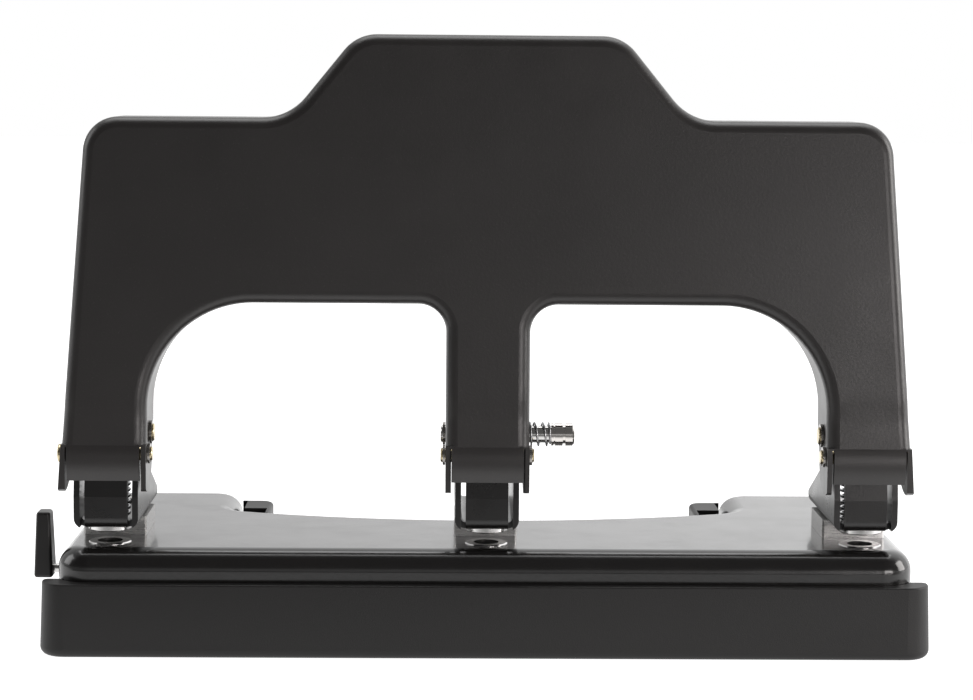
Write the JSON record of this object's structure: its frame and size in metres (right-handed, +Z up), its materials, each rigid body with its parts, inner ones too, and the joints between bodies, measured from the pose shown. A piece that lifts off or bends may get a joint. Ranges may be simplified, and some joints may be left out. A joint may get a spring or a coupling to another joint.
{
  "type": "hole punch",
  "caption": "Heavy-duty lever hole punch with a tall arched steel handle, a pressed base plate, sprung punch heads, a sliding edge guide and a chip tray.",
  "frame": {"origin": "where the axis of the middle punch meets the underside of the chip tray", "axes": "+X to the user's right, +Y away from the user, +Z up"},
  "size_m": [0.2575, 0.1082, 0.1753],
  "materials": {
    "base_paint": "gloss black enamel",
    "bracket_paint": "satin black paint",
    "clip_steel": "dark phosphate",
    "flag_plastic": "smooth moulded",
    "ground_steel": "ground and polished",
    "knob_chrome": "nickel plate",
    "lever_paint": "satin black powder coat",
    "punch_steel": "hardened, ground",
    "rivet_steel": "dull zinc",
    "spacer_steel": "bright zinc",
    "spring_steel": "drawn wire",
    "tray_plastic": "fine moulded grain",
    "yellow_zinc": "yellow zinc plate"
  },
  "bodies": {
    "base": {"base_plate": "base_paint", "bracket_rivets": "rivet_steel", "pivot_clips": "clip_steel", "rod_guide": "spacer_steel", "bracket_left": "bracket_paint", "die_left": "ground_steel", "guide_bush_left": "ground_steel", "spacer_left": "spacer_steel", "pivot_studs_left": "yellow_zinc", "punch_spring_left": "spring_steel", "bracket_centre": "bracket_paint", "die_centre": "ground_steel", "guide_bush_centre": "ground_steel", "spacer_centre": "spacer_steel", "pivot_studs_centre": "yellow_zinc", "punch_spring_centre": "spring_steel", "bracket_right": "bracket_paint", "die_right": "ground_steel", "guide_bush_right": "ground_steel", "spacer_right": "spacer_steel", "pivot_studs_right": "yellow_zinc", "punch_spring_right": "spring_steel"},
    "lever": {"lever": "lever_paint", "drive_pin_left": "yellow_zinc", "drive_pin_right": "yellow_zinc", "drive_clips": "clip_steel", "plunger_spring": "spring_steel"},
    "plunger": {"plunger": "ground_steel", "plunger_knob": "knob_chrome", "plunger_clip": "clip_steel"},
    "edge_guide": {"guide_rod": "ground_steel", "guide_flag": "flag_plastic", "guide_rod_clip": "clip_steel"},
    "chip_tray": {"chip_tray": "tray_plastic"},
    "punch_left": {"punch_left": "punch_steel", "spring_washer_left": "spacer_steel"},
    "punch_centre": {"punch_centre": "punch_steel", "spring_washer_centre": "spacer_steel"},
    "punch_right": {"punch_right": "punch_steel", "spring_washer_right": "spacer_steel"}
  },
  "joints": [
    {"name": "lever_hinge", "type": "hinge", "parent": "base", "child": "lever", "pos_m": [0, -0.0062, 0.0565], "axis": [-1, 0, 0], "range_deg": [0, 75], "stiffness_Nm_per_rad": 0.35, "springref_deg": -34.38},
    {"name": "plunger_slide", "type": "slide", "parent": "lever", "child": "plunger", "axis": [-1, 0, 0], "range_m": [0, 0.0033], "stiffness_N_per_m": 800, "springref_m": -0.004, "deforming": ["plunger_spring"]},
    {"name": "edge_guide_slide", "type": "slide", "parent": "base", "child": "edge_guide", "axis": [-1, 0, 0], "range_m": [0, 0.024]},
    {"name": "tray_release", "type": "slide", "parent": "base", "child": "chip_tray", "axis": [0, 0, -1], "range_m": [0, 0.03]},
    {"name": "punch_stroke_left", "type": "slide", "parent": "base", "child": "punch_left", "axis": [0, 0, -1], "range_m": [0, 0.0092], "deforming": ["punch_spring_left"]},
    {"name": "punch_stroke_centre", "type": "slide", "parent": "base", "child": "punch_centre", "axis": [0, 0, -1], "range_m": [0, 0.0092], "deforming": ["punch_spring_centre"]},
    {"name": "punch_stroke_right", "type": "slide", "parent": "base", "child": "punch_right", "axis": [0, 0, -1], "range_m": [0, 0.0092], "deforming": ["punch_spring_right"]}
  ],
  "couplings": [
    {"joint": "punch_stroke_left", "follows": "lever_hinge", "m_per_rad": 0.00695},
    {"joint": "punch_stroke_centre", "follows": "lever_hinge", "m_per_rad": 0.00695},
    {"joint": "punch_stroke_right", "follows": "lever_hinge", "m_per_rad": 0.00695}
  ]
}
